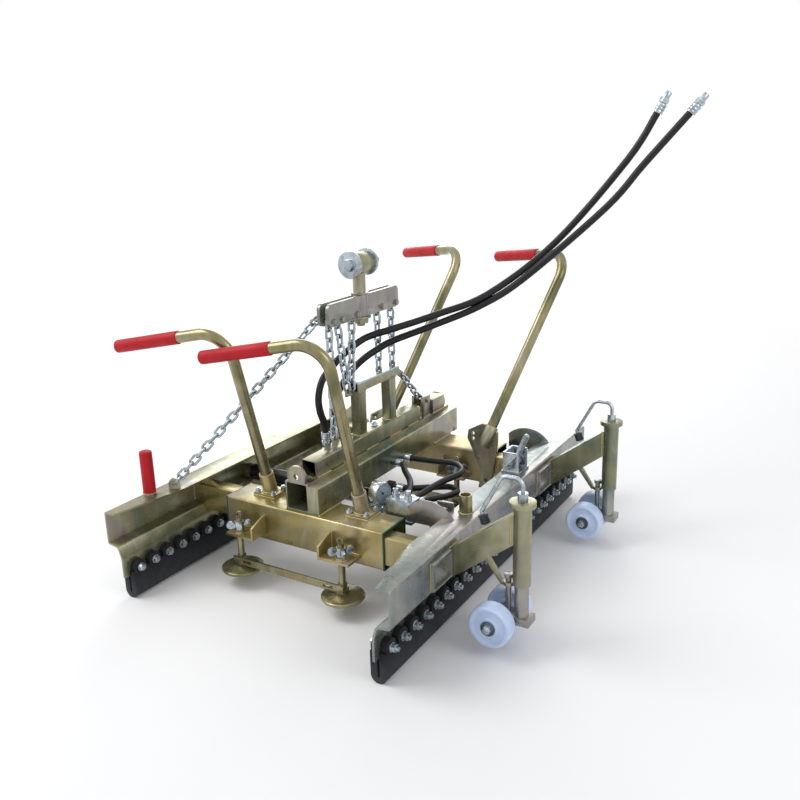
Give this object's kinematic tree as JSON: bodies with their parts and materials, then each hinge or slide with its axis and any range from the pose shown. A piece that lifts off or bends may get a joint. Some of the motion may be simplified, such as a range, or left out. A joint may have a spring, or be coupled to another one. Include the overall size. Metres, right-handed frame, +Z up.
{
  "type": "paving block laying clamp",
  "caption": "Clamp with two rubber-lipped bent-sheet jaws on telescoping crossbeams, hung by chains from a swivel, with bent push handles and wheels on winding columns.",
  "frame": {"origin": "middle of the outline seen from above, on the plane under the rubber lips", "axes": "+X in the clamping direction towards the jaw with the wheels, +Y along the jaws, +Z up"},
  "size_m": [1.3129, 1.3457, 1.2824],
  "materials": {
    "gold_zinc": "satin",
    "bright_zinc": "satin",
    "brass_zinc": "satin",
    "dark_steel": "satin",
    "black_paint": "gloss",
    "black_rubber": "matte",
    "black_plastic": "matte",
    "red_grip": "satin",
    "green_plastic": "satin",
    "white_plastic": "satin"
  },
  "bodies": {
    "frame": {"crossbeams": "gold_zinc", "slide_liners": "green_plastic", "long_beam": "gold_zinc", "top_tube": "gold_zinc", "tower": "gold_zinc", "rear_clevis": "gold_zinc", "left_jaw": "gold_zinc", "left_rubber": "black_rubber", "left_bolts": "bright_zinc", "left_tubes": "gold_zinc", "lock_bolt": "bright_zinc", "side_post": "bright_zinc", "side_grip": "red_grip", "spreader": "gold_zinc", "left_chain": "bright_zinc", "front_chains": "bright_zinc", "rear_chains": "bright_zinc", "foot_brackets": "gold_zinc", "handle_sockets": "gold_zinc", "frame_bolts": "bright_zinc", "rear_plates": "gold_zinc", "handle_tubes": "gold_zinc", "handle_grips": "red_grip", "valve_block": "bright_zinc", "gauge": "bright_zinc", "gauge_face": "white_plastic", "couplings": "bright_zinc", "cylinder_barrel": "black_paint", "hoses": "black_rubber", "feed_hoses": "black_rubber", "feed_ends": "bright_zinc"},
    "right_side": {"right_jaw": "gold_zinc", "right_rubber": "black_rubber", "right_bolts": "bright_zinc", "right_tubes": "gold_zinc", "wheel_arms": "gold_zinc", "pipe_socket": "brass_zinc", "latch_bracket": "bright_zinc", "piston_rod": "bright_zinc"},
    "lever": {"latch_lever": "bright_zinc"},
    "swivel": {"swivel_eye": "gold_zinc", "swivel_pin": "bright_zinc"},
    "winder_front": {"crank_front": "bright_zinc", "crank_front_grip": "black_plastic"},
    "winder_rear": {"crank_rear": "bright_zinc", "crank_rear_grip": "black_plastic"},
    "column_front": {"leg_front": "gold_zinc", "axle_front": "dark_steel"},
    "column_rear": {"leg_rear": "gold_zinc", "axle_rear": "dark_steel"},
    "roller_a": {"wheel_a": "white_plastic"},
    "roller_b": {"wheel_b": "white_plastic"},
    "roller_c": {"wheel_c": "white_plastic"},
    "roller_d": {"wheel_d": "white_plastic"},
    "holder_front": {"feet_front": "bright_zinc"},
    "holder_rear": {"feet_rear": "bright_zinc"},
    "nut_a": {"knob_a": "bright_zinc"},
    "nut_b": {"knob_b": "bright_zinc"},
    "nut_c": {"knob_c": "bright_zinc"},
    "nut_d": {"knob_d": "bright_zinc"}
  },
  "joints": [
    {"name": "jaw_travel", "type": "slide", "parent": "frame", "child": "right_side", "axis": [1, 0, 0], "range_m": [-0.05, 0.12]},
    {"name": "lever_swing", "type": "hinge", "parent": "right_side", "child": "lever", "pos_m": [0.33175, 0.10013, 0.275], "axis": [0, 1, 0], "range_deg": [-22, 55]},
    {"name": "swivel_turn", "type": "hinge", "parent": "frame", "child": "swivel", "pos_m": [-0.06825, -0.06987, 0.736], "axis": [0, 0, 1], "continuous": true},
    {"name": "leg_front_lift", "type": "slide", "parent": "right_side", "child": "column_front", "axis": [0, 0, 1], "range_m": [-0.01, 0.04]},
    {"name": "winder_front_turn", "type": "hinge", "parent": "right_side", "child": "winder_front", "pos_m": [0.55675, -0.37987, 0.39], "axis": [0, 0, 1], "range_deg": [-900, 3600]},
    {"name": "leg_rear_lift", "type": "slide", "parent": "right_side", "child": "column_rear", "axis": [0, 0, 1], "range_m": [-0.01, 0.04]},
    {"name": "winder_rear_turn", "type": "hinge", "parent": "right_side", "child": "winder_rear", "pos_m": [0.55675, 0.26613, 0.39], "axis": [0, 0, 1], "range_deg": [-900, 3600]},
    {"name": "wheel_a_spin", "type": "hinge", "parent": "column_front", "child": "roller_a", "pos_m": [0.50475, -0.43187, 0.083], "axis": [0, 1, 0], "continuous": true},
    {"name": "wheel_b_spin", "type": "hinge", "parent": "column_front", "child": "roller_b", "pos_m": [0.50475, -0.32787, 0.083], "axis": [0, 1, 0], "continuous": true},
    {"name": "wheel_c_spin", "type": "hinge", "parent": "column_rear", "child": "roller_c", "pos_m": [0.50475, 0.21413, 0.083], "axis": [0, 1, 0], "continuous": true},
    {"name": "wheel_d_spin", "type": "hinge", "parent": "column_rear", "child": "roller_d", "pos_m": [0.50475, 0.31813, 0.083], "axis": [0, 1, 0], "continuous": true},
    {"name": "feet_front_lift", "type": "slide", "parent": "frame", "child": "holder_front", "axis": [0, 0, 1], "range_m": [0, 0.03]},
    {"name": "knob_a_turn", "type": "hinge", "parent": "frame", "child": "nut_a", "pos_m": [-0.25125, -0.43987, 0.175], "axis": [0, 0, 1], "range_deg": [0, 2700]},
    {"name": "knob_b_turn", "type": "hinge", "parent": "frame", "child": "nut_b", "pos_m": [0.08875, -0.43987, 0.175], "axis": [0, 0, 1], "range_deg": [0, 2700]},
    {"name": "feet_rear_lift", "type": "slide", "parent": "frame", "child": "holder_rear", "axis": [0, 0, 1], "range_m": [0, 0.03]},
    {"name": "knob_c_turn", "type": "hinge", "parent": "frame", "child": "nut_c", "pos_m": [-0.25125, 0.20613, 0.175], "axis": [0, 0, 1], "range_deg": [0, 2700]},
    {"name": "knob_d_turn", "type": "hinge", "parent": "frame", "child": "nut_d", "pos_m": [0.08875, 0.20613, 0.175], "axis": [0, 0, 1], "range_deg": [0, 2700]}
  ],
  "couplings": [
    {"joint": "winder_front_turn", "follows": "leg_front_lift", "rad_per_m": 1570.8},
    {"joint": "winder_rear_turn", "follows": "leg_rear_lift", "rad_per_m": 1570.8},
    {"joint": "knob_a_turn", "follows": "feet_front_lift", "rad_per_m": 1570.8},
    {"joint": "knob_b_turn", "follows": "feet_front_lift", "rad_per_m": 1570.8},
    {"joint": "knob_c_turn", "follows": "feet_rear_lift", "rad_per_m": 1570.8},
    {"joint": "knob_d_turn", "follows": "feet_rear_lift", "rad_per_m": 1570.8}
  ]
}
